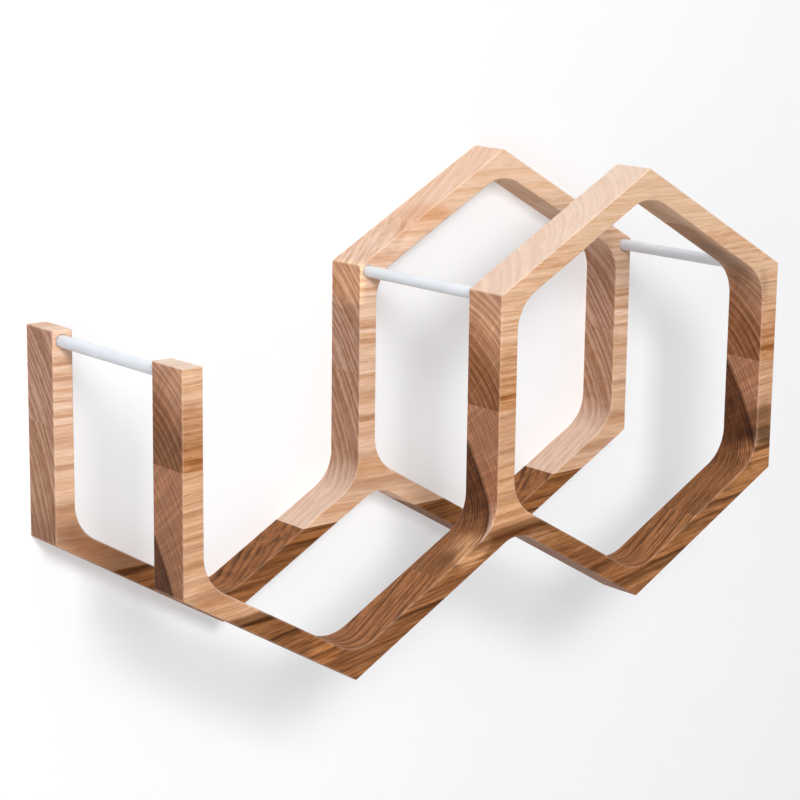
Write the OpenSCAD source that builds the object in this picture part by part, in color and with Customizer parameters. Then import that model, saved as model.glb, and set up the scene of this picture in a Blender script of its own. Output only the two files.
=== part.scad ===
// Wall rack of two linked hexagon cells, cut from edge-glued oak board.
// Two frames with the same outline stand one behind the other, joined by three white tie rods.
// The right cell is closed. The left cell sits lower and is open at the top.
// Millimetres, +Z up, +Y towards the wall. The origin is on the back face of the middle wall,
// level with the centre of the right cell.

/* [Cells] */
// Outside width of a cell, from flat to flat
cell_flats = 140; // [130:1:160]
// Thickness of the wood round a cell, seen from the front
wall = 8; // [7:0.5:12]
// How far the left cell sits below the right one
left_drop = 7; // [0:0.5:16]
// Height of the left post's square end above the centre of the left cell
left_rise = 36; // [24:1:42]
// Radius inside the corners of a cell
corner_r = 16; // [6:1:28]
// Radius of the notch between the cells, underneath
notch_r = 12; // [3:1:24]

/* [Depth] */
// Thickness of the board that each frame is cut from
board_t = 18; // [16:1:24]
// Clear space between the two frames
frame_gap = 64; // [40:1:90]

/* [Staves] */
// Height of the top stave's piece, from its glue line to the right cell's top corner
peak_h = 24; // [18:1:30]
// Height of the bottom stave's piece, from its glue line to the left cell's lowest corner
cradle_h = 29; // [22:1:36]
// Height of the middle glue line where it crosses the middle wall
glue_z = -1; // [-6:0.5:6]
// Tilt of the glue lines in degrees, rising to the right
glue_tilt = 1.65; // [0:0.05:3]

/* [Tie rods] */
// Diameter of a tie rod
rod_d = 4.5; // [3.5:0.25:5]
// Depth of the blind seat that takes each end of a rod
rod_seat = 8; // [6:0.5:9]
// Glue room round a rod in its seat
rod_play = 0.05; // [0.02:0.01:0.1]
// Distance of the left rod below the post's square end
left_rod_drop = 4; // [3.5:0.25:8]

/* [Wall hanging] */
// Diameter of the two blind bores in the back that drop onto wall pins
hang_d = 5; // [4:0.5:6]
// Depth of these bores
hang_depth = 7; // [5:0.5:7.5]

/* [Hidden] */

// Overrun of the cutting shapes
over = 1;
// How far a rounding bites into the flats that it joins, so that no sliver is left between them
bite = 0.01;
round_fn = 96;

// A cell is a regular hexagon standing on a corner, and every corner opens at 120 degrees.
sides = 6;
turn = 360 / sides;
half_corner = (180 - turn) / 2;
rise_per_run = tan(turn / 2);

cell_half = cell_flats / 2;
cell_r = cell_half / cos(turn / 2);
hollow_half = cell_half - wall;
hollow_r = hollow_half / cos(turn / 2);

// The cells share the middle wall, so their centres are one wall closer than side by side.
pitch = cell_flats - wall;
right_c = [pitch / 2, 0];
left_c = [-pitch / 2, -left_drop];
left_top = left_c.y + left_rise;

// The lower slopes of the two cells cross here, off centre because the left cell is lower.
notch = [left_drop / rise_per_run / 2, pitch / 2 * rise_per_run - cell_r - left_drop / 2];

// A point on each glue line, from the lowest up. The two whole staves come out about 56 wide.
glue_points = [
    [left_c.x, left_c.y - cell_r + cradle_h],
    [0, glue_z],
    [right_c.x, right_c.y + cell_r - peak_h]
];

// Reach of the stave windows beyond the whole outline
reach_x = pitch / 2 + cell_half + over;
reach_z = cell_r + left_drop + over;

back_y = 0;
front_y = -board_t - frame_gap;

rod_r = rod_d / 2;
rod_len = frame_gap + 2 * rod_seat;
rod_back_y = rod_seat - board_t;
// The rods run along the middle of the wood, two of them at the corners of the right cell.
corner_rod_z = pitch / 2 * rise_per_run;
left_rod = [-pitch, left_top - left_rod_drop];
middle_rod = [0, corner_rod_z];
right_rod = [pitch, corner_rod_z];

// Regular hexagon standing on a corner
module hexagon(r) {
    rotate(90) circle(r = r, $fn = sides);
}

// The wood that a radius leaves in a 120 degree corner at the origin, which opens towards +X.
// The kite overruns the corner's sides, into wood that is there already.
module corner_fill(r) {
    centre = r / sin(half_corner);
    reach = r + over;
    side = [-sin(half_corner), cos(half_corner)];
    translate([centre, 0]) difference() {
        polygon([
            [0, 0],
            reach * side,
            [-reach / sin(half_corner), 0],
            reach * [side.x, -side.y]
        ]);
        circle(r = r + bite, $fn = round_fn);
    }
}

// Corner fills of a hollow, for the corners at the given directions from its centre
module hollow_fills(directions) {
    for (a = directions)
        rotate(a) translate([hollow_r, 0]) rotate(180) corner_fill(corner_r);
}

// Closed hollow of the right cell
module right_hollow() {
    difference() {
        hexagon(hollow_r);
        hollow_fills([for (i = [0 : sides - 1]) turn / 2 + i * turn]);
    }
}

// Hollow of the left cell, the lower half of a hexagon
module left_hollow() {
    difference() {
        polygon([
            [-hollow_half, over],
            [-hollow_half, -hollow_r / 2],
            [0, -hollow_r],
            [hollow_half, -hollow_r / 2],
            [hollow_half, over]
        ]);
        hollow_fills([for (i = [1 : sides / 2]) turn / 2 - i * turn]);
    }
}

// Outer shape of the left cell, from its free post to the slope that ends at the notch
module left_outer() {
    end = notch - left_c;
    polygon([
        [-cell_half, left_rise],
        [-cell_half, -cell_r / 2],
        [0, -cell_r],
        end,
        [end.x, 0],
        [-hollow_half, 0],
        [-hollow_half, left_rise]
    ]);
}

// Outline of a whole frame, seen from the front
module frame_outline() {
    difference() {
        union() {
            translate(right_c) hexagon(cell_r);
            translate(left_c) left_outer();
            translate(notch) rotate(-90) corner_fill(notch_r);
        }
        translate(right_c) right_hollow();
        translate(left_c) left_hollow();
    }
}

// Height of a stave's edge at place x. Glue lines are 0 to 2, and -1 and 3 clear the board.
function stave_edge(i, x) =
    i < 0 ? -reach_z :
    i < len(glue_points) ? glue_points[i].y + (x - glue_points[i].x) * tan(glue_tilt) :
    reach_z;

// One piece of wood: the frame's outline from stave edge low to the next, and from x0 to x1
module stave_piece(low, x0, x1, y) {
    translate([0, y, 0]) rotate([90, 0, 0])
        linear_extrude(board_t)
            intersection() {
                frame_outline();
                polygon([
                    [x0, stave_edge(low, x0)],
                    [x1, stave_edge(low, x1)],
                    [x1, stave_edge(low + 1, x1)],
                    [x0, stave_edge(low + 1, x0)]
                ]);
            }
}

// Round bar from y towards the front
module bar(place, y, len, r) {
    translate([place.x, y, place.y])
        rotate([90, 0, 0]) cylinder(r = r, h = len, $fn = round_fn);
}

// Seats of a tie rod, blind in both frames from their facing sides
module rod_bore(place) {
    bar(place, rod_back_y, rod_len, rod_r + rod_play);
}

// Blind bore for a wall pin, open at the back
module hang_bore(place) {
    bar(place, over, hang_depth + over, hang_d / 2);
}

// Top corner of the right cell
module peak(y) {
    color("wheat") stave_piece(2, 0, reach_x, y);
}

// Upper end of the free post on the left, with the seat of its rod
module left_post(y) {
    color("burlywood") difference() {
        stave_piece(1, -reach_x, left_c.x, y);
        rod_bore(left_rod);
    }
}

// Middle wall above the glue line and the slope from it up to the peak
module middle_shoulder(y) {
    color("burlywood") difference() {
        stave_piece(1, left_c.x, right_c.x, y);
        rod_bore(middle_rod);
        hang_bore(middle_rod);
    }
}

// Right wall above the glue line and the slope from it up to the peak
module right_shoulder(y) {
    color("burlywood") difference() {
        stave_piece(1, right_c.x, reach_x, y);
        rod_bore(right_rod);
        hang_bore(right_rod);
    }
}

// Lower end of the free post and the slope from it under the left cell
module left_elbow(y) {
    color("tan") stave_piece(0, -reach_x, left_c.x, y);
}

// Middle wall below the glue line, where it parts into the slopes under both cells
module fork(y) {
    color("tan") stave_piece(0, left_c.x, right_c.x, y);
}

// Right wall below the glue line and the slope from it under the right cell
module right_elbow(y) {
    color("tan") stave_piece(0, right_c.x, reach_x, y);
}

// Lowest corner of the left cell
module left_cradle(y) {
    color("peru") stave_piece(-1, -reach_x, 0, y);
}

// Lowest corner of the right cell
module right_cradle(y) {
    color("peru") stave_piece(-1, 0, reach_x, y);
}

// Painted rod, glued into both frames
module tie_rod(place) {
    color("white") bar(place, rod_back_y, rod_len, rod_r);
}

peak(front_y);  // front_peak
left_post(front_y);  // front_left_post
middle_shoulder(front_y);  // front_middle_shoulder
right_shoulder(front_y);  // front_right_shoulder
left_elbow(front_y);  // front_left_elbow
fork(front_y);  // front_fork
right_elbow(front_y);  // front_right_elbow
left_cradle(front_y);  // front_left_cradle
right_cradle(front_y);  // front_right_cradle
peak(back_y);  // back_peak
left_post(back_y);  // back_left_post
middle_shoulder(back_y);  // back_middle_shoulder
right_shoulder(back_y);  // back_right_shoulder
left_elbow(back_y);  // back_left_elbow
fork(back_y);  // back_fork
right_elbow(back_y);  // back_right_elbow
left_cradle(back_y);  // back_left_cradle
right_cradle(back_y);  // back_right_cradle
tie_rod(left_rod);  // left_tie_rod
tie_rod(middle_rod);  // middle_tie_rod
tie_rod(right_rod);  // right_tie_rod
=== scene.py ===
"""Looks of a wall rack: two linked hexagon cells of edge-glued oak, joined by white tie rods.

Metres, +Z up, +Y towards the wall. The origin is on the back face of the middle wall, level with
the centre of the right cell. Each frame is cut from one board of four planks, so the pieces that
come from one plank share its grain.
"""
import logging
import math
from collections.abc import Iterator, Sequence
from dataclasses import dataclass
from enum import Enum

import bmesh
import bpy
from mathutils import Euler, Matrix, Vector


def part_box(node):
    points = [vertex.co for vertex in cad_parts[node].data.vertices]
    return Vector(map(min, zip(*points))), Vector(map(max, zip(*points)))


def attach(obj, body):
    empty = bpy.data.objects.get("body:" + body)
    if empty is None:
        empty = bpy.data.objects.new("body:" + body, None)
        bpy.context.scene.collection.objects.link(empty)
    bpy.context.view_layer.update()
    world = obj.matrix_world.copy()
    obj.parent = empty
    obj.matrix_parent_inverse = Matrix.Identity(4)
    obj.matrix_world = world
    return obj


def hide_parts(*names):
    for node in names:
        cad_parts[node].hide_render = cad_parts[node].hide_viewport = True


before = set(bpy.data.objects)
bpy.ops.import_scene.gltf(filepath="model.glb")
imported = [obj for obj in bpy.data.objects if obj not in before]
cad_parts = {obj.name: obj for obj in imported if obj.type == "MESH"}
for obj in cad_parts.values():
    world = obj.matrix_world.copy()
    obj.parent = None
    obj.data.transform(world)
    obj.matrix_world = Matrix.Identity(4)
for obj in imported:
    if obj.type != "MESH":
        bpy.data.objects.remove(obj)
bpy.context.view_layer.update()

log = logging.getLogger("rack")

MM = 0.001
BODY = "root"
# The attribute that marks the eased edges of the wood
EASED = "eased"

Socket = bpy.types.NodeSocket
Number = float | Socket
Colour = tuple[float, float, float]
Paint = tuple[float, float, float, float]


def linear(red: int, green: int, blue: int) -> Paint:
    """Give a display colour, 0 to 255 a channel, as the linear colour that Blender reads."""
    def channel(value: int) -> float:
        """Undo the sRGB curve of one channel."""
        share = value / 255
        return share / 12.92 if share <= 0.04045 else ((share + 0.055) / 1.055) ** 2.4

    return channel(red), channel(green), channel(blue), 1.0


class Graph:
    """Shorthand for building the nodes of a material or of the world."""

    def __init__(self, tree: bpy.types.NodeTree) -> None:
        """Start with an empty tree.

        Args:
            tree: The node tree to fill.
        """
        self.tree = tree
        self.tree.nodes.clear()

    def node(self, kind: str, **settings: object) -> bpy.types.Node:
        """Add a node.

        Args:
            kind: Blender's name of the node type, without ShaderNode.
            settings: Values for the node's own properties.

        Returns:
            The new node.
        """
        made = self.tree.nodes.new(f"ShaderNode{kind}")
        for name, value in settings.items():
            setattr(made, name, value)
        return made

    def feed(self, socket: Socket, value: object) -> None:
        """Link a socket to another one, or set its value."""
        if isinstance(value, Socket):
            self.tree.links.new(value, socket)
        else:
            socket.default_value = value

    def feed_all(self, node: bpy.types.Node, values: Sequence[object]) -> None:
        """Link or set a node's first sockets, in order."""
        for socket, value in zip(node.inputs, values):
            self.feed(socket, value)

    def math(self, operation: str, *values: Number, clamp: bool = False) -> Socket:
        """Work out a number.

        Args:
            operation: Name of the Math node's operation.
            values: Its inputs, in order.
            clamp: Whether the result is kept between 0 and 1.

        Returns:
            The result.
        """
        made = self.node("Math", operation=operation, use_clamp=clamp)
        self.feed_all(made, values)
        return made.outputs[0]

    def between(self, start: float, end: float, share: Number) -> Socket:
        """Go evenly from start to end while the share goes from 0 to 1."""
        return self.math("MULTIPLY_ADD", share, end - start, start)

    def vector(self, operation: str, *values: object) -> Socket:
        """Work out a vector, or the length of one.

        Args:
            operation: Name of the Vector Math node's operation.
            values: Its inputs, in order.

        Returns:
            The result.
        """
        made = self.node("VectorMath", operation=operation)
        self.feed_all(made, values)
        return made.outputs["Value" if operation == "LENGTH" else "Vector"]

    def split(self, vector: Socket) -> tuple[Socket, Socket, Socket]:
        """Take a vector apart into its X, Y and Z."""
        made = self.node("SeparateXYZ")
        self.feed(made.inputs[0], vector)
        return tuple(made.outputs)

    def join(self, *values: Number) -> Socket:
        """Make a vector of its X, Y and Z."""
        made = self.node("CombineXYZ")
        self.feed_all(made, values)
        return made.outputs[0]

    def place(self, centre: Vector, slope: float, unit: Sequence[float]) -> Socket:
        """Read the piece's own coordinates in a frame of the pattern's own.

        Args:
            centre: Origin of that frame on the piece.
            slope: Its climb to the right, in radians.
            unit: Its unit of length along each of its axes.

        Returns:
            The coordinates in that frame.
        """
        made = self.node("Mapping", vector_type="TEXTURE")
        values = (self.node("TexCoord").outputs["Object"], centre, (0.0, -slope, 0.0), unit)
        self.feed_all(made, values)
        return made.outputs["Vector"]

    def noise(self, at: Socket, detail: float, roughness: float = 0.5) -> Socket:
        """Read smooth noise from 0 to 1, with waves about one unit long.

        Args:
            at: Place in space, or one number for noise along a line.
            detail: Number of finer octaves.
            roughness: Strength of the finer octaves.

        Returns:
            The noise.
        """
        line = at.type == "VALUE"
        made = self.node("TexNoise", noise_dimensions="1D" if line else "3D")
        self.feed(made.inputs["W" if line else "Vector"], at)
        made.inputs["Scale"].default_value = 1.0
        made.inputs["Detail"].default_value = detail
        made.inputs["Roughness"].default_value = roughness
        return made.outputs[0]

    def window(self, value: Number, low: float, high: float, start: float = 0.0,
               end: float = 1.0) -> Socket:
        """Ease a number from start to end while it goes from low to high.

        Args:
            value: The number.
            low: Where the easing begins.
            high: Where it is done.
            start: Result below low.
            end: Result above high.

        Returns:
            The eased number.
        """
        made = self.node("MapRange", interpolation_type="SMOOTHSTEP")
        self.feed_all(made, (value, low, high, start, end))
        return made.outputs["Result"]

    def curve(self, value: Number, stops: Sequence[tuple[float, float]]) -> Socket:
        """Look a number up on a line of stops.

        Args:
            value: The number, 0 to 1.
            stops: Positions with the level at each.

        Returns:
            The level.
        """
        made = self.node("ValToRGB")
        elements = made.color_ramp.elements
        for _ in stops[2:]:
            elements.new(0.5)
        for element, (position, level) in zip(elements, stops):
            element.position = position
            element.color = (level, level, level, 1.0)
        self.feed(made.inputs["Fac"], value)
        return made.outputs["Color"]

    def blend(self, share: Number, below: object, above: object, mode: str = "MIX") -> Socket:
        """Lay one colour over another.

        Args:
            share: How much of the upper colour shows.
            below: The lower colour.
            above: The upper colour.
            mode: Blender's name of the way they mix.

        Returns:
            The mixed colour.
        """
        made = self.node("Mix", data_type="RGBA", blend_type=mode, clamp_factor=True)
        # The node keeps the sockets for numbers and vectors before those for colours.
        for place, value in ((0, share), (6, below), (7, above)):
            self.feed(made.inputs[place], value)
        return made.outputs[2]

    def mix(self, share: Number, below: Socket, above: Socket) -> Socket:
        """Lay one shader over another, as much of it as the share says."""
        made = self.node("MixShader")
        self.feed_all(made, (share, below, above))
        return made.outputs[0]

    def skin(self, colour: Socket, roughness: Number, relief: Socket, strength: float,
             depth: float) -> bpy.types.Node:
        """Add a solid surface and connect it to the output.

        Args:
            colour: Its colour.
            roughness: How much it scatters reflections.
            relief: Height of its fine relief.
            strength: How much the relief shows, 0 to 1.
            depth: Depth of the relief, in metres.

        Returns:
            The surface's shader node.
        """
        bump = self.node("Bump")
        bump.inputs["Strength"].default_value = strength
        bump.inputs["Distance"].default_value = depth
        self.feed(bump.inputs["Height"], relief)
        made = self.node("BsdfPrincipled")
        self.feed(made.inputs["Base Color"], colour)
        self.feed(made.inputs["Roughness"], roughness)
        self.feed(made.inputs["Normal"], bump.outputs[0])
        self.finish(made.outputs[0])
        return made

    def finish(self, shader: Socket, output: str = "OutputMaterial") -> None:
        """Connect a shader to the output node of that kind."""
        self.feed(self.node(output).inputs["Surface"], shader)


def new_material(name: str) -> tuple[bpy.types.Material, Graph]:
    """Start a material of that name, and give it with its empty graph."""
    material = bpy.data.materials.new(name)
    material.use_nodes = True
    return material, Graph(material.node_tree)


@dataclass(frozen=True)
class Figure:
    """A noise in the wood.

    Attributes:
        waves: Waves a millimetre along each of the coordinates that it is read at.
        detail: Number of finer octaves.
        roughness: Strength of the finer octaves.
        span: Levels of the noise between which it is eased from 0 to 1, if it is.
    """

    waves: tuple[float, float, float]
    detail: float
    roughness: float = 0.5
    span: tuple[float, float] | None = None

    def read(self, graph: Graph, at: Socket, fineness: float = 1.0) -> Socket:
        """Read the noise.

        Args:
            graph: The graph to add it to.
            at: Coordinates in millimetres, the first of them along the grain.
            fineness: How narrow its waves are along the third, as a multiple of the usual.

        Returns:
            The noise, 0 to 1.
        """
        *wide, narrow = self.waves
        place = graph.vector("MULTIPLY", at, (*wide, narrow * fineness))
        noise = graph.noise(place, self.detail, self.roughness)
        return graph.window(noise, *self.span) if self.span else noise


# The slow sway that takes the rings off a true circle, read in straight coordinates
SWAY = Figure((0.006, 0.03, 0.03), 2.0)
# Noises that follow the rings: the wood's fibres and its finer threads, the flutter of the rings,
# the breaks in their lines, the open pores, and the rays that show in end grain
FIBRES = Figure((0.011, 0.16, 0.62), 5.0, 0.62)
THREADS = Figure((0.12, 0.8, 1.7), 4.0, 0.65, (0.36, 0.64))
FLUTTER = Figure((0.02, 0.1, 0.16), 2.0)
BREAKS = Figure((0.03, 0.12, 0.9), 3.0, 0.6, (0.25, 0.55))
PORES = Figure((0.13, 2.6, 3.6), 2.0, 0.6, (0.55, 0.68))
RAYS = Figure((0.04, 0.8, 0.035), 2.0, span=(0.48, 0.62))
# Y of the middle between the two frames, in millimetres
MIDDLE_Y = -50
# Waves of the rings' uneven width that come to one ring, and how many rings these waves and the
# flutter shift a place by at most
UNEVEN_WAVES = 0.3
UNEVEN_SHIFT = 2.4
FLUTTER_SHIFT = 0.35

# Levels over one year's growth, from early wood to late: how warm the wood is, how dark the ring's
# line is, and how pale the bands of the end grain are
LATE_WOOD = ((0.0, 0.0), (0.3, 0.12), (0.85, 0.95), (0.95, 1.0), (1.0, 0.0))
RING_LINE = ((0.0, 0.85), (0.1, 0.3), (0.2, 0.0), (0.84, 0.0), (0.96, 1.0), (1.0, 0.9))
END_BANDS = ((0.0, 0.6), (0.12, 1.0), (0.4, 0.3), (0.7, 0.0), (1.0, 0.6))

# How dark a ring's line is in the faintest year and the boldest, where it is broken and whole, the
# same for a ring that stands out, and on side grain and end grain
YEAR_STRENGTH = (0.2, 1.0)
LINE_STRENGTH = (0.3, 1.0)
MARK_STRENGTH = (0.75, 1.0)
GRAIN_STRENGTH = (1.0, 0.6)
# How much of the late wood's tone shows in the faintest year and the boldest, and the low and the
# high level of the fibres with what they add to the tone at each
LATE_SHARE = (0.25, 0.75)
FIBRE_TONE = (0.3, 0.7, -0.35, 0.6)
# How many of the pores show off the ring lines and on them, how much of the streaks on end grain
# and side grain, and how much of the end grain's bands
PORE_SHARE = (0.3, 1.0)
STREAK_SHARE = (0.2, 0.8)
BAND_SHARE = 0.9

# What parts of the grain multiply the wood's colour by
STREAK_TINTS = ((1.12, 1.14, 1.16, 1.0), (0.66, 0.54, 0.42, 1.0))
BAND_TINTS = ((0.8, 0.77, 0.73, 1.0), (1.2, 1.23, 1.27, 1.0))
PORE_TINT = (0.6, 0.46, 0.33, 1.0)
RAY_TINT = (1.3, 1.3, 1.3, 1.0)
# What the heartwood's end grain is multiplied by once more, and what is added to its grit
HEART_DULL = 0.64
HEART_GRIT = 0.5
# Colours that the wood fades towards where it faces up, a painted sheen of the light from above,
# and where an edge is eased, partly sanded wear and partly a painted highlight, and how far it
# fades at an eased edge
PAINTED_SHEEN_PALE = linear(230, 215, 205)
WORN_AND_HIGHLIGHT_PALE = linear(240, 214, 190)
WORN_AND_HIGHLIGHT_SHARE = 0.09
# The oil's sheen: roughness between the rings and on them, and the strength of the reflection
OIL_ROUGHNESS = (0.48, 0.64)
OIL_IOR = 1.5
OIL_REFLECTION = 0.07
# Height of the fibres in the relief, as a multiple of the pores' depth
FIBRE_RELIEF = 0.35

# Shares of a patch's reach where its rim begins and ends, and how far the fibres fray the rim;
# the patches hold the wood's own tone, painted light and painted shade
STAIN_OR_LIGHT_RIM = (0.45, 1.05)
STAIN_OR_LIGHT_FRAY = 0.9
# Shares of a marked ring's half width where its soft side begins and ends
MARK_RIM = (0.55, 1.35)


class Plank(Enum):
    """The four planks of a board, from the top down, with the finish slot of each."""

    TOP = "stave_top"
    UPPER = "stave_upper"
    LOWER = "stave_lower"
    BOTTOM = "stave_bottom"


# The pieces that are cut from each plank
CUTS = {
    Plank.TOP: ("peak",),
    Plank.UPPER: ("left_post", "middle_shoulder", "right_shoulder"),
    Plank.LOWER: ("left_elbow", "fork", "right_elbow"),
    Plank.BOTTOM: ("left_cradle", "right_cradle"),
}


@dataclass(frozen=True)
class StainOrPaintedLight:
    """A patch of another tone in a plank: the wood's own, painted light or painted shade.

    Attributes:
        centre: Its middle in the rack's frame, in millimetres.
        reach: How far it goes along the grain, through the board and across the grain.
        slope: Its climb to the right, in degrees.
        depth: How much of it shows, 0 to 1.
        tint: What it multiplies the wood's colour by.
    """

    centre: tuple[float, float, float]
    reach: tuple[float, float, float]
    slope: float
    depth: float
    tint: Colour

    def share(self, graph: Graph, fibres: Socket) -> Socket:
        """Find how much of the patch shows at each place.

        Args:
            graph: The graph to add it to.
            fibres: The wood's fibres, which fray the patch's rim.

        Returns:
            The share, 0 to the patch's depth.
        """
        place = graph.place(Vector(self.centre) * MM, math.radians(self.slope),
                            Vector(self.reach) * MM)
        fray = graph.math("SUBTRACT", fibres, 0.5)
        distance = graph.math("MULTIPLY_ADD", fray, STAIN_OR_LIGHT_FRAY, graph.vector("LENGTH", place))
        return graph.window(distance, *STAIN_OR_LIGHT_RIM, self.depth, 0.0)


@dataclass(frozen=True)
class Mark:
    """A yearly ring that stands out as a dark line.

    Attributes:
        radius: Its distance from the pith, in millimetres.
        width: Half its width, in millimetres.
        depth: How dark it is, 0 to 1.
    """

    radius: float
    width: float
    depth: float

    def line(self, graph: Graph, radius: Socket) -> Socket:
        """Draw the line, with soft sides, at its distance from the pith."""
        gap = graph.math("ABSOLUTE", graph.math("SUBTRACT", radius, self.radius))
        begin, end = (share * self.width for share in MARK_RIM)
        return graph.window(gap, begin, end, self.depth, 0.0)


@dataclass(frozen=True)
class Heartwood:
    """The dark wood round the pith.

    Attributes:
        radius: How far it goes from the pith, in millimetres.
        fade: Width over which it turns into the outer wood, in millimetres.
        pale: Display colour of its early wood.
        warm: Display colour of its late wood.
    """

    radius: float
    fade: float
    pale: Colour
    warm: Colour


@dataclass(frozen=True, kw_only=True)
class Oak:
    """Oiled oak of one plank. The rings lie round the pith, which runs near the plank.

    Attributes:
        pith: Y and Z of the pith at the middle of the rack, in millimetres.
        rise: Climb of the grain to the right, in degrees.
        ring: Width of a yearly ring, in millimetres.
        wave: How far the rings stray from a circle, in millimetres.
        boldness: Strength of the ring lines, 0 to 1.
        seed: Shift along the grain that makes the plank its own, in millimetres.
        pale: Display colour of the early wood.
        warm: Display colour of the late wood.
        heart: The heartwood, where the plank has any.
        painted_top_sheen: Paler wood where it faces up, a painted sheen of the light from above, 0
            to 1.
        ends: What the end grain multiplies the colour by.
        ink: What a ring's dark line multiplies the colour by.
        grit: Strength of the fine streaks and pores.
        fineness: How narrow the streaks are, as a multiple of the usual.
        flecks: Strength of the rays in the end grain, 0 to 1.
        marks: Rings that stand out.
        stains_and_painted_light: Patches of another tone: the wood's own, painted light and
            painted shade.
    """

    pith: tuple[float, float]
    rise: float = 0.0
    ring: float
    wave: float = 1.2
    boldness: float
    seed: float
    pale: Colour
    warm: Colour
    heart: Heartwood | None = None
    painted_top_sheen: float = 0.4
    ends: Colour = (0.68, 0.57, 0.56)
    ink: Colour = (0.42, 0.27, 0.14)
    grit: float
    fineness: float = 1.0
    flecks: float = 0.55
    marks: tuple[Mark, ...] = ()
    stains_and_painted_light: tuple[StainOrPaintedLight, ...] = ()


class OakGrain:
    """The nodes that draw one plank's wood.

    Its methods lay the grain out round the pith, so that rings, streaks and pores run over the
    faces and round the corners of every piece as they do in cut wood.
    """

    def __init__(self, oak: Oak, graph: Graph) -> None:
        """Lay out what the colour and the relief share.

        Args:
            oak: The plank's finish.
            graph: The empty graph to fill.
        """
        self.oak = oak
        self.graph = g = graph
        side, _, top = g.split(g.node("TexCoord").outputs["Normal"])
        turned = g.math("ABSOLUTE", side)
        self.upward = g.math("MAXIMUM", top, 0.0)
        self.end_grain = g.math("POWER", turned, 2.0)
        self.side_grain = g.math("SUBTRACT", 1.0, turned, clamp=True)
        self.radius, self.curled = self.follow_rings()
        self.fibres = FIBRES.read(g, self.curled, oak.fineness)
        self.season, self.strength = self.count_years()
        self.lines = g.curve(self.season, RING_LINE)
        self.rings = g.math("MULTIPLY", g.math("MULTIPLY", self.lines, self.strength),
                            oak.boldness)
        self.pores = self.open_pores()

    def follow_rings(self) -> tuple[Socket, Socket]:
        """Lay out the coordinates that follow the rings, in millimetres.

        Returns:
            The distance from the pith, and the place along the grain, round the pith and away
            from it.
        """
        g, oak = self.graph, self.oak
        tilt = math.radians(oak.rise)
        pith_y, pith_z = oak.pith
        pith = Vector((oak.seed, pith_y, pith_z + oak.seed * math.tan(tilt))) * MM
        plank = g.place(pith, tilt, (MM, MM, MM))
        along, across, height = g.split(plank)
        squares = [g.math("MULTIPLY", leg, leg) for leg in (across, height)]
        circle = g.math("SQRT", g.math("ADD", *squares))
        sway = g.math("SUBTRACT", SWAY.read(g, plank), 0.5)
        radius = g.math("MULTIPLY_ADD", sway, 2 * oak.wave, circle)
        # The board lies about this far from the pith, so angles times it are millimetres there.
        usual_radius = math.hypot(pith_y - MIDDLE_Y, pith_z)
        arc = g.math("MULTIPLY", g.math("ARCTAN2", height, across), usual_radius)
        return radius, g.join(along, arc, radius)

    def count_years(self) -> tuple[Socket, Socket]:
        """Count the rings, of uneven width, out from the pith.

        Returns:
            How much of its year a place has behind it, and how strong that year's ring is, both
            0 to 1.
        """
        g, ring = self.graph, self.oak.ring
        uneven = g.noise(g.math("MULTIPLY", self.radius, UNEVEN_WAVES / ring), 1.0)
        year = g.math("DIVIDE", self.radius, ring)
        year = g.math("MULTIPLY_ADD", uneven, UNEVEN_SHIFT, year)
        flutter = g.math("SUBTRACT", FLUTTER.read(g, self.curled), 0.5)
        year = g.math("MULTIPLY_ADD", flutter, FLUTTER_SHIFT, year)
        luck = g.node("TexWhiteNoise", noise_dimensions="1D")
        g.feed(luck.inputs["W"], g.math("FLOOR", year))
        return g.math("FRACT", year), g.between(*YEAR_STRENGTH, luck.outputs["Value"])

    def open_pores(self) -> Socket:
        """Find the open pores. They crowd along the ring lines, and end grain shows none."""
        g = self.graph
        crowd = g.math("MULTIPLY", g.between(*PORE_SHARE, self.lines), self.side_grain)
        return g.math("MULTIPLY", PORES.read(g, self.curled), crowd)

    def dark_lines(self) -> Socket:
        """Find how dark the ring lines are, the common ones and those that stand out."""
        g = self.graph
        whole = BREAKS.read(g, self.curled)
        dark = g.math("MULTIPLY", self.rings, g.between(*LINE_STRENGTH, whole))
        strength = g.between(*MARK_STRENGTH, whole)
        for mark in self.oak.marks:
            line = g.math("MULTIPLY", mark.line(g, self.radius), strength)
            dark = g.math("MAXIMUM", dark, line)
        return g.math("MULTIPLY", dark, g.between(*GRAIN_STRENGTH, self.end_grain))

    def colour(self) -> Socket:
        """Lay the wood's colour, layer by layer, and return it."""
        g, oak = self.graph, self.oak
        late = g.math("MULTIPLY", g.curve(self.season, LATE_WOOD),
                      g.between(*LATE_SHARE, self.strength))
        tone = g.math("ADD", late, g.window(self.fibres, *FIBRE_TONE), clamp=True)
        colour = g.blend(tone, linear(*oak.pale), linear(*oak.warm))
        dull: Paint | Socket = (*oak.ends, 1.0)
        painted_top_sheen: Number = oak.painted_top_sheen
        grit: Number = oak.grit
        if oak.heart:
            inner = g.blend(tone, linear(*oak.heart.pale), linear(*oak.heart.warm))
            inside = g.window(self.radius, oak.heart.radius - oak.heart.fade, oak.heart.radius,
                              1.0, 0.0)
            colour = g.blend(inside, colour, inner)
            dull = g.blend(inside, dull, tuple(HEART_DULL * share for share in dull))
            painted_top_sheen = g.between(oak.painted_top_sheen, 0.0, inside)
            grit = g.between(oak.grit, oak.grit + HEART_GRIT, inside)

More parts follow.
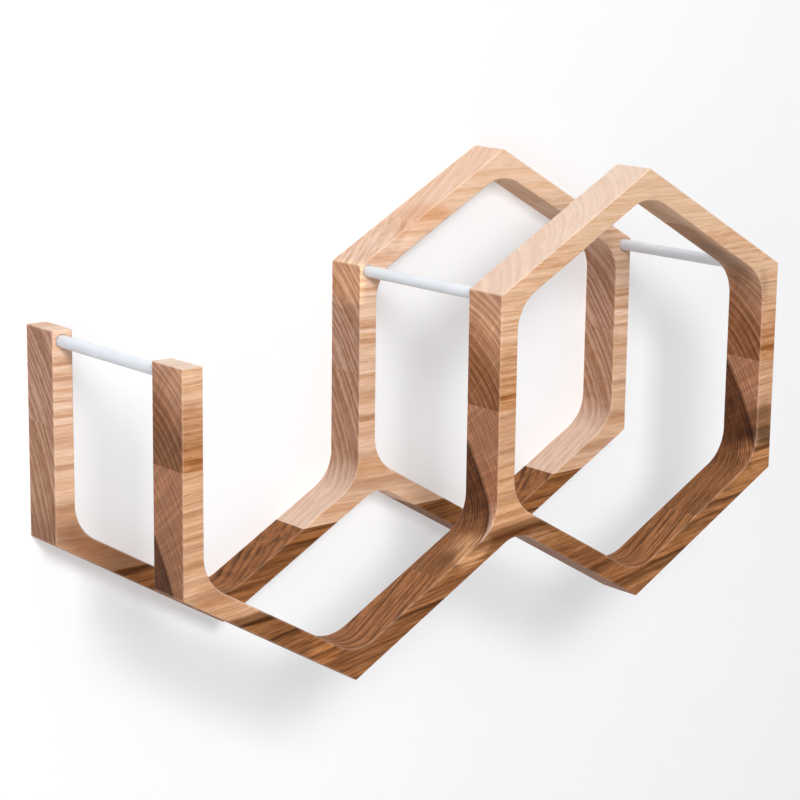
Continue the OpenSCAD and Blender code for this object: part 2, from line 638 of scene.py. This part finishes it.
        threads = THREADS.read(g, self.curled, oak.fineness)
        rays = g.math("MULTIPLY", RAYS.read(g, self.curled), self.end_grain)
        layers = [
            (g.math("MULTIPLY", g.between(*STREAK_SHARE, self.side_grain), grit),
             g.blend(threads, *STREAK_TINTS)),
            (g.math("MULTIPLY", self.end_grain, BAND_SHARE),
             g.blend(g.curve(self.season, END_BANDS), *BAND_TINTS)),
            (self.dark_lines(), (*oak.ink, 1.0)),
            (g.math("MULTIPLY", self.pores, grit), PORE_TINT),
            (g.math("MULTIPLY", rays, oak.flecks), RAY_TINT),
            # Patches of the wood's own tone, and of painted light and painted shade
            *((stain_or_painted_light.share(g, self.fibres), (*stain_or_painted_light.tint, 1.0)) for stain_or_painted_light in oak.stains_and_painted_light),
            (self.end_grain, dull),
        ]
        for share, tint in layers:
            colour = g.blend(share, colour, tint, "MULTIPLY")
        # Painted sheen: faces that look up fade towards a whitish tone, as light from above pales
        # them
        colour = g.blend(g.math("MULTIPLY", self.upward, painted_top_sheen), colour, PAINTED_SHEEN_PALE)
        # Eased edges fade paler: partly wood sanded bare, partly a painted highlight along the
        # rounding
        worn_and_highlight = g.node("Attribute", attribute_name=EASED).outputs["Fac"]
        return g.blend(g.math("MULTIPLY", worn_and_highlight, WORN_AND_HIGHLIGHT_SHARE), colour, WORN_AND_HIGHLIGHT_PALE)

    def draw(self) -> None:
        """Draw the oiled surface."""
        g = self.graph
        relief = g.math("ADD", g.math("MULTIPLY", self.pores, -1.0),
                        g.math("MULTIPLY", self.fibres, FIBRE_RELIEF))
        skin = g.skin(self.colour(), g.between(*OIL_ROUGHNESS, self.rings), relief,
                      strength=0.35, depth=0.08 * MM)
        skin.inputs["IOR"].default_value = OIL_IOR
        skin.inputs["Specular IOR Level"].default_value = OIL_REFLECTION


@dataclass(frozen=True)
class RodPaint:
    """Satin white paint on the tie rods, with a faint cloud and a fine orange peel.

    Attributes:
        colour: Its display colour.
        cloud: Its display colour where it is a little thinner.
        roughness: How much it scatters reflections.
        cloud_waves: Waves a millimetre of the cloud, along each axis.
        peel_waves: The same of the peel.
    """

    colour: Colour = (224, 228, 233)
    cloud: Colour = (217, 222, 228)
    roughness: float = 0.34
    cloud_waves: tuple[float, float, float] = (0.5, 0.08, 0.5)
    peel_waves: tuple[float, float, float] = (1.1, 0.7, 1.1)

    def material(self) -> bpy.types.Material:
        """Build the paint's material and return it."""
        material, g = new_material("rod_paint")
        place = g.place(Vector(), 0.0, (MM, MM, MM))
        cloud = g.noise(g.vector("MULTIPLY", place, self.cloud_waves), 2.0)
        peel = g.noise(g.vector("MULTIPLY", place, self.peel_waves), 1.0)
        tint = g.blend(g.window(cloud, 0.3, 0.7), linear(*self.colour), linear(*self.cloud))
        g.skin(tint, self.roughness, peel, strength=0.12, depth=0.05 * MM)
        return material


def add_piece(name: str, bm: bmesh.types.BMesh, material: bpy.types.Material) -> bpy.types.Object:
    """Make an object of a finished bmesh.

    Args:
        name: Name of the object.
        bm: Its shape, which is freed.
        material: Its material.

    Returns:
        The new object, linked to the scene.
    """
    mesh = bpy.data.meshes.new(name)
    bm.to_mesh(mesh)
    bm.free()
    mesh.materials.append(material)
    made = bpy.data.objects.new(name, mesh)
    bpy.context.scene.collection.objects.link(made)
    return made


@dataclass
class OakFrame:
    """One of the two frames, cut from a board of four planks.

    Attributes:
        side: Which frame it is, front or back.
        planks: Finish of each plank.
        ease: Rounding of the outer edges.
        rim: Rounding of the mouths of the bores.
        steps: Number of facets across a rounding.
        facet: An edge shorter than this is a facet of a bore's mouth.
        merge: Corners closer than this are one.
        flat: Faces that turn less than this are one, in degrees.
        sharp: An edge that turns more than this is rounded, in degrees.
        crease: An edge that turns more than this stays sharp in the shading, in degrees.
        glue_points: A point on each glue line, as X and Z in millimetres, from the lowest up.
        glue_tilt: Rise of the glue lines to the right, in degrees.
    """

    side: str
    planks: dict[Plank, Oak]
    ease: float = 0.55 * MM
    rim: float = 0.22 * MM
    steps: int = 3
    facet: float = 0.3 * MM
    merge: float = 0.001 * MM
    flat: float = 0.2
    sharp: float = 25.0
    crease: float = 40.0
    glue_points: tuple[tuple[float, float], ...] = ((-66.0, -58.829), (0.0, -1.0), (66.0, 56.829))
    glue_tilt: float = 1.65

    def is_glued(self, face: bmesh.types.BMFace) -> bool:
        """Say whether a face lies on one of the glue lines."""
        slope = math.tan(math.radians(self.glue_tilt))
        slack = 0.01 * MM
        return any(
            all(abs(v.co.z - (z * MM + (v.co.x - x * MM) * slope)) < slack for v in face.verts)
            for x, z in self.glue_points
        )

    def eased(self, node: str) -> bmesh.types.BMesh:
        """Copy a CAD node and round its sharp edges, all but those of its glued faces.

        Args:
            node: Name of the node.

        Returns:
            The rounded shape.
        """
        bm = bmesh.new()
        eased = bm.faces.layers.float.new(EASED)
        bm.from_mesh(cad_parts[node].data)
        bmesh.ops.remove_doubles(bm, verts=bm.verts, dist=self.merge)
        bmesh.ops.dissolve_limit(bm, angle_limit=math.radians(self.flat), verts=bm.verts,
                                 edges=bm.edges)
        glued = {face for face in bm.faces if self.is_glued(face)}
        sharp = [
            edge for edge in bm.edges
            if len(edge.link_faces) == 2 and not glued.intersection(edge.link_faces)
            and edge.calc_face_angle_signed() > math.radians(self.sharp)
        ]
        mouths = [edge for edge in sharp if edge.calc_length() < self.facet]
        outer = [edge for edge in sharp if edge.calc_length() >= self.facet]
        for edges, width in ((mouths, self.rim), (outer, self.ease)):
            made = bmesh.ops.bevel(bm, geom=[edge for edge in edges if edge.is_valid],
                                   offset=width, affect="EDGES", segments=self.steps,
                                   profile=0.5, material=-1, clamp_overlap=False)
            for face in made["faces"]:
                face[eased] = 1.0
        for face in bm.faces:
            face.smooth = True
        for edge in bm.edges:
            edge.smooth = edge.calc_face_angle(math.pi) < math.radians(self.crease)
        return bm

    def build(self) -> Iterator[bpy.types.Object]:
        """Make every piece of the frame.

        Yields:
            Each piece, in place of its CAD node.
        """
        for plank, cuts in CUTS.items():
            material, graph = new_material(f"oak_{self.side}_{plank.value}")
            OakGrain(self.planks[plank], graph).draw()
            for cut in cuts:
                node = f"{self.side}_{cut}"
                piece = add_piece(f"{node}_wood", self.eased(node), material)
                shading = piece.modifiers.new("even_shading", "WEIGHTED_NORMAL")
                shading.keep_sharp = True
                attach(piece, BODY)
                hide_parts(node)
                yield piece


@dataclass
class TieRods:
    """The white rods that join the frames.

    Attributes:
        paint: Finish of the rods.
        sides: Number of facets round a rod.
        ease: Rounding of the rods' ends.
        steps: Number of facets across that rounding.
    """

    paint: RodPaint
    sides: int = 64
    ease: float = 0.4 * MM
    steps: int = 3

    def build(self) -> Iterator[bpy.types.Object]:
        """Make the rods.

        Yields:
            Each rod, in place of its CAD node.
        """
        material = self.paint.material()
        for place in ("left", "middle", "right"):
            node = f"{place}_tie_rod"
            low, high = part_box(node)
            size = high - low
            bm = bmesh.new()
            turned = Matrix.Translation((low + high) / 2) @ Matrix.Rotation(math.pi / 2, 4, "X")
            bmesh.ops.create_cone(bm, cap_ends=True, segments=self.sides, radius1=size.x / 2,
                                  radius2=size.x / 2, depth=size.y, matrix=turned)
            # The edges round its ends lie square to its axis, all others along it.
            ends = [edge for edge in bm.edges
                    if abs(edge.verts[0].co.y - edge.verts[1].co.y) < MM]
            bmesh.ops.bevel(bm, geom=ends, offset=self.ease, affect="EDGES", segments=self.steps,
                            profile=0.5, material=-1)
            for face in bm.faces:
                face.smooth = True
            piece = add_piece(f"{node}_painted", bm, material)
            piece.modifiers.new("even_shading", "WEIGHTED_NORMAL")
            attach(piece, BODY)
            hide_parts(node)
            yield piece


@dataclass(frozen=True)
class Lamp:
    """A soft box.

    Attributes:
        name: Its name.
        at: Where it stands.
        aim: What it points at.
        size: Its width and height.
        power: Its power in watts.
    """

    name: str
    at: tuple[float, float, float]
    aim: tuple[float, float, float]
    size: tuple[float, float]
    power: float

    def build(self) -> None:
        """Make the lamp."""
        data = bpy.data.lights.new(self.name, "AREA")
        data.shape = "RECTANGLE"
        data.size, data.size_y = self.size
        data.energy = self.power
        made = bpy.data.objects.new(self.name, data)
        made.location = self.at
        ray = Vector(self.aim) - Vector(self.at)
        made.rotation_euler = ray.to_track_quat("-Z", "Y").to_euler()
        made.visible_camera = False
        bpy.context.scene.collection.objects.link(made)


@dataclass
class Studio:
    """The white room, its light and the camera.

    Attributes:
        lamps: The soft boxes.
        wall_gap: Air between the rack and the wall.
        half_width: Half the room's width.
        height: Top of the wall.
        depth: How far the floor comes forward.
        floor: Height of the floor.
        cove: Radius between wall and floor.
        cove_steps: Number of facets across that radius.
        paper: Colour of the backdrop as the camera sees it.
        dim_paper: Its colour where it lights the rack.
        glow: Share of plain white in the backdrop, as the camera sees it.
        floor_glow: The same on the floor.
        fade: Distances from the rack between which the backdrop turns plain white.
        daylight: Strength of the light from all round.
        eye: Where the camera stands.
        turn: Its direction round the rack, in degrees.
        tip: Its height above the horizon, in degrees.
        roll: Its roll, in degrees.
        lens: Its focal length in millimetres.
        sensor: Width of its sensor in millimetres.
        sight: The nearest and the farthest that it sees.
    """

    lamps: tuple[Lamp, ...]
    wall_gap: float = 0.2 * MM
    half_width: float = 2.5
    height: float = 1.6
    depth: float = 2.6
    floor: float = -0.6
    cove: float = 0.3
    cove_steps: int = 24
    paper: Paint = (0.95, 0.95, 0.965, 1.0)
    dim_paper: Paint = (0.6, 0.6, 0.61, 1.0)
    glow: float = 0.3
    floor_glow: float = 0.8
    fade: tuple[float, float] = (0.7, 2.2)
    daylight: float = 0.15
    eye: tuple[float, float, float] = (-0.51963, -0.70015, 0.16933)
    turn: float = -38.128
    tip: float = 11.899
    roll: float = 0.689
    lens: float = 103.35
    sensor: float = 36.0
    sight: tuple[float, float] = (0.01, 20.0)

    def build(self) -> None:
        """Make the room, the lamps and the camera."""
        self.build_backdrop()
        self.light_world()
        for lamp in self.lamps:
            lamp.build()
        self.stand_camera()

    def seen(self, g: Graph) -> Socket:
        """Give 1 for a ray that shows the background: straight, reflected or through glass."""
        path = g.node("LightPath")
        seen = g.math("MAXIMUM", path.outputs["Is Camera Ray"], path.outputs["Is Glossy Ray"])
        return g.math("MAXIMUM", seen, path.outputs["Is Transmission Ray"])

    def paper_white(self) -> bpy.types.Material:
        """Build the backdrop's white and return it.

        It shows from its front only, and the light from behind the wall passes it.
        """
        material, g = new_material("white_backdrop")
        seen = self.seen(g)
        plain = g.node("BsdfDiffuse")
        g.feed(plain.inputs["Color"], g.blend(seen, self.dim_paper, self.paper))
        place = g.node("TexCoord").outputs["Object"]
        height = g.split(place)[2]
        glow = g.window(height, self.floor, self.floor + self.cove, self.floor_glow, self.glow)
        flat = g.vector("MULTIPLY", place, (1.0, 1.0, 0.0))
        far = g.window(g.vector("LENGTH", flat), *self.fade)
        share = g.math("MULTIPLY", seen, g.math("MAXIMUM", glow, far))
        front = g.mix(share, plain.outputs[0], g.node("Emission").outputs[0])
        behind = g.node("NewGeometry").outputs["Backfacing"]
        clear = g.math("MAXIMUM", behind, g.node("LightPath").outputs["Is Shadow Ray"])
        g.finish(g.mix(clear, front, g.node("BsdfTransparent").outputs[0]))
        return material

    def build_backdrop(self) -> None:
        """Make the wall that rounds into the floor."""
        bm = bmesh.new()
        bend = self.floor + self.cove
        top, knee = [bm.verts.new((-self.half_width, self.wall_gap, z))
                     for z in (self.height, bend)]
        bm.edges.new((top, knee))
        bmesh.ops.spin(bm, geom=[knee], cent=(0.0, self.wall_gap - self.cove, bend),
                       axis=(1.0, 0.0, 0.0), angle=-math.pi / 2, steps=self.cove_steps)
        foot = min(bm.verts, key=lambda v: v.co.z)
        bm.edges.new((foot, bm.verts.new((-self.half_width, -self.depth, self.floor))))
        made = bmesh.ops.extrude_edge_only(bm, edges=list(bm.edges))
        moved = [v for v in made["geom"] if isinstance(v, bmesh.types.BMVert)]
        bmesh.ops.translate(bm, verts=moved, vec=(2 * self.half_width, 0.0, 0.0))
        bm.normal_update()
        wall = max(bm.faces, key=lambda face: face.calc_center_median().z)
        if wall.normal.y > 0:
            bmesh.ops.reverse_faces(bm, faces=bm.faces)
        for face in bm.faces:
            face.smooth = True
        add_piece("backdrop", bm, self.paper_white())

    def light_world(self) -> None:
        """Light the room evenly, and show plain white behind it."""
        world = bpy.data.worlds.new("white_room")
        bpy.context.scene.world = world
        world.use_nodes = True
        g = Graph(world.node_tree)
        sky = g.node("Background")
        sky.inputs["Color"].default_value = (1.0, 1.0, 1.0, 1.0)
        g.feed(sky.inputs["Strength"], g.between(self.daylight, 1.0, self.seen(g)))
        g.finish(sky.outputs[0], "OutputWorld")

    def stand_camera(self) -> None:
        """Stand the camera where the photograph was taken from."""
        data = bpy.data.cameras.new("camera")
        data.lens = self.lens
        data.sensor_width = self.sensor
        data.clip_start, data.clip_end = self.sight
        made = bpy.data.objects.new("camera", data)
        turn = Euler((math.radians(90 - self.tip), 0.0, math.radians(self.turn)))
        made.matrix_world = (Matrix.Translation(self.eye) @ turn.to_matrix().to_4x4()
                             @ Matrix.Rotation(math.radians(self.roll), 4, "Z"))
        bpy.context.scene.collection.objects.link(made)
        bpy.context.scene.camera = made


def painted_shade_under_peak(tint: Colour) -> StainOrPaintedLight:
    """Paint shade on the under side of the front's top right slope, which two planks share."""
    return StainOrPaintedLight((98, -89, 51), (44, 11, 5), -30.0, 1.0, tint)


FRONT = {
    Plank.TOP: Oak(
        pith=(-72, 24), ring=1.15, seed=-300, wave=0.6, boldness=0.12, grit=0.28, painted_top_sheen=0.5,
        pale=(226, 193, 164), warm=(212, 170, 134), ends=(0.66, 0.55, 0.52),
        stains_and_painted_light=(
            # Back edge of the top left slope
            StainOrPaintedLight((24, -82, 59), (13, 7, 8), 0.0, 0.8, (0.96, 0.85, 0.72)),
            # Painted shade under the top right slope
            painted_shade_under_peak((0.68, 0.62, 0.52)),
        ),
    ),
    Plank.UPPER: Oak(
        pith=(-60, -23), rise=2.0, ring=3.1, seed=-900, wave=0.8, boldness=0.24, grit=0.5,
        painted_top_sheen=0.5, pale=(226, 189, 157), warm=(208, 159, 121), ink=(0.55, 0.29, 0.1),
        heart=Heartwood(64, 20, (204, 150, 104), (168, 112, 66)),
        marks=(Mark(47.85, 0.5, 0.6), Mark(50.4, 0.3, 0.4), Mark(53.6, 0.35, 0.45),
               Mark(57.1, 0.45, 0.55), Mark(60.2, 0.3, 0.35), Mark(65.4, 0.35, 0.45)),
        stains_and_painted_light=(
            # Painted light that brightens the left side of the middle wall
            StainOrPaintedLight((-7, -91, 22), (5, 18, 30), 0.0, 0.85, (1.3, 1.32, 1.15)),
            # Painted shade under the top right slope
            painted_shade_under_peak((0.56, 0.47, 0.38)),
            # Painted shade inside the right wall's top corner
            StainOrPaintedLight((118, -89, 41.5), (24, 12, 6), -30.0, 0.9, (0.66, 0.67, 0.7)),
            StainOrPaintedLight((128, -94, 32), (4, 14, 9), 0.0, 0.8, (0.7, 0.7, 0.68)),
            # Front and outer side of the free post, above its glue line
            StainOrPaintedLight((-134, -102, 9), (10, 7, 14), 2.0, 0.9, (0.78, 0.71, 0.65)),
            StainOrPaintedLight((-138, -91, 2), (4, 18, 9), 0.0, 0.7, (0.78, 0.82, 0.88)),
        ),
    ),
    Plank.LOWER: Oak(
        pith=(31, -99), rise=6.5, ring=1.25, seed=-1500, wave=0.8, boldness=0.34, grit=0.5,
        fineness=2.0, flecks=0.9, pale=(218, 175, 141), warm=(190, 140, 101),
        ends=(0.57, 0.45, 0.41), ink=(0.27, 0.18, 0.09),
        heart=Heartwood(141.85, 1.0, (160, 110, 71), (92, 58, 34)),
        marks=(Mark(141.1, 0.6, 0.92), Mark(141.8, 0.6, 0.92), Mark(146.6, 0.4, 0.35),
               Mark(149.5, 0.35, 0.25), Mark(152.0, 0.3, 0.25), Mark(154.9, 0.4, 0.35),
               Mark(162.0, 0.35, 0.35)),
        stains_and_painted_light=(
            # Middle wall's foot above the dark ring, and pale wood under the ring on both sides
            StainOrPaintedLight((3, -100, -34), (26, 30, 16), 6.5, 0.8, (1.02, 0.95, 0.84)),
            StainOrPaintedLight((-14, -100, -50.3), (10, 14, 4.8), 30.0, 0.9, (2.0, 2.5, 3.2)),
            StainOrPaintedLight((15, -100, -48.5), (10, 14, 3.2), -15.0, 0.8, (1.35, 1.5, 1.85)),
            # Slope beside the free post, the post's outer side and its pale back corner
            StainOrPaintedLight((-122, -100, -50), (13, 14, 7), -30.0, 0.7, (0.8, 0.72, 0.64)),
            StainOrPaintedLight((-138, -91, -38), (4, 16, 26), 0.0, 0.65, (0.7, 0.68, 0.62)),
            StainOrPaintedLight((-137, -83, -50), (5, 5.5, 13), 0.0, 0.8, (1.35, 1.35, 1.2)),
            # Dark patch on the right wall, its darker lower half, the pale wood under it, and the
            # slope below
            StainOrPaintedLight((132, -100, -21.5), (8, 12, 10.5), 0.0, 0.9, (0.4, 0.33, 0.25)),
            StainOrPaintedLight((132, -100, -26.5), (8, 12, 4.5), 0.0, 0.9, (0.5, 0.5, 0.5)),
            StainOrPaintedLight((131, -100, -34.5), (9, 12, 7), 6.5, 0.85, (2.0, 2.2, 2.4)),
            StainOrPaintedLight((118, -100, -49), (24, 16, 9), 30.0, 0.7, (1.35, 1.4, 1.35)),
        ),
    ),
    Plank.BOTTOM: Oak(
        pith=(31, -130), rise=11.0, ring=2.4, seed=-2100, boldness=0.5, grit=1.2, painted_top_sheen=0.0,
        fineness=1.7, pale=(164, 112, 72), warm=(92, 58, 33), ink=(0.3, 0.2, 0.11),
        stains_and_painted_light=(
            # Left slope of the left cell, dark by the glue line and pale by the lowest corner
            StainOrPaintedLight((-97, -100, -66), (13, 14, 6), 14.0, 0.7, (0.62, 0.6, 0.55)),
            StainOrPaintedLight((-80, -100, -75), (9, 14, 6), -30.0, 0.8, (1.6, 1.6, 1.5)),
            # Right slope of the right cell
            StainOrPaintedLight((90, -100, -63), (34, 16, 9), 30.0, 0.7, (1.3, 1.35, 1.35)),
        ),
    ),
}
BACK = {
    Plank.TOP: Oak(
        pith=(90, 0), ring=3.2, seed=-3300, boldness=0.14, grit=0.28, painted_top_sheen=0.2, flecks=0.15,
        pale=(235, 200, 172), warm=(225, 182, 145), ends=(0.66, 0.55, 0.52),
        stains_and_painted_light=(
            # Orange streak over the glue line, and painted shade on the under side of the top
            # right slope
            StainOrPaintedLight((28, -17, 57), (15, 16, 6), 2.0, 0.85, (0.88, 0.7, 0.54)),
            StainOrPaintedLight((90, -9, 56), (24, 16, 5), -30.0, 0.8, (0.8, 0.7, 0.58)),
        ),
    ),
    Plank.UPPER: Oak(
        pith=(100, -75), ring=3.2, seed=-3900, boldness=0.3, grit=0.4, painted_top_sheen=0.15, flecks=0.15,
        pale=(238, 205, 181), warm=(212, 164, 127), ends=(0.58, 0.48, 0.45),
        ink=(0.5, 0.3, 0.15),
        marks=(Mark(149.5, 0.4, 0.5), Mark(146.4, 0.5, 0.55), Mark(141.7, 0.25, 0.4),
               Mark(138.8, 0.35, 0.5)),
        stains_and_painted_light=(
            # Streak under the glue line, and painted light on the top of the middle wall's left
            # side
            StainOrPaintedLight((20, -17, 54), (18, 12, 4), 2.0, 0.7, (0.9, 0.72, 0.56)),
            StainOrPaintedLight((-5, -10, 34), (5, 16, 12), 0.0, 0.85, (1.45, 1.4, 1.15)),
        ),
    ),
    Plank.LOWER: Oak(
        pith=(100, -75), ring=3.4, seed=-3960, boldness=0.34, grit=0.4, flecks=0.15,
        pale=(230, 193, 165), warm=(204, 155, 116), ends=(0.62, 0.53, 0.5),
        ink=(0.42, 0.25, 0.12),
        marks=(Mark(135.0, 1.6, 0.15), Mark(130.4, 0.5, 0.5), Mark(122.0, 0.6, 0.45)),
        stains_and_painted_light=(
            # Dark slope beside the free post, and the post's front above it, partly darker wood
            # and partly painted shade
            StainOrPaintedLight((-111, -9, -57), (38, 40, 13), -30.0, 0.95, (0.42, 0.31, 0.23)),
            StainOrPaintedLight((-132, -20, -38), (10, 8, 11), 0.0, 0.7, (0.72, 0.65, 0.58)),
        ),
    ),
    Plank.BOTTOM: Oak(
        pith=(60, -140), rise=5.0, ring=3.2, seed=-5100, boldness=0.7, grit=0.9, painted_top_sheen=0.0,
        pale=(160, 106, 64), warm=(86, 51, 26),
    ),
}
LAMPS = (
    Lamp("key_light", (-0.61, -1.4, 0.61), (0.0, -0.05, 0.0), (0.4, 0.4), 19.5),
    Lamp("top_light", (0.1, -0.35, 1.6), (0.0, -0.05, 0.0), (1.4, 0.5), 10.5),
    Lamp("left_light", (-1.4, -1.2, 0.2), (0.0, 0.0, 0.0), (1.2, 1.0), 5.5),
    Lamp("back_light", (0.0, 1.5, 0.0), (0.0, 0.0, 0.0), (0.5, 0.5), 15.0),
)


def main() -> None:
    """Build the rack's looks and the room, and log the faces of each piece."""
    logging.basicConfig(level=logging.INFO, format="%(name)s: %(message)s")
    bpy.context.scene.view_settings.view_transform = "Standard"
    Studio(lamps=LAMPS).build()
    for maker in (OakFrame("front", FRONT), OakFrame("back", BACK), TieRods(RodPaint())):
        for piece in maker.build():
            log.info("%s: %d faces", piece.name, len(piece.data.polygons))


if __name__ == "__main__":
    main()
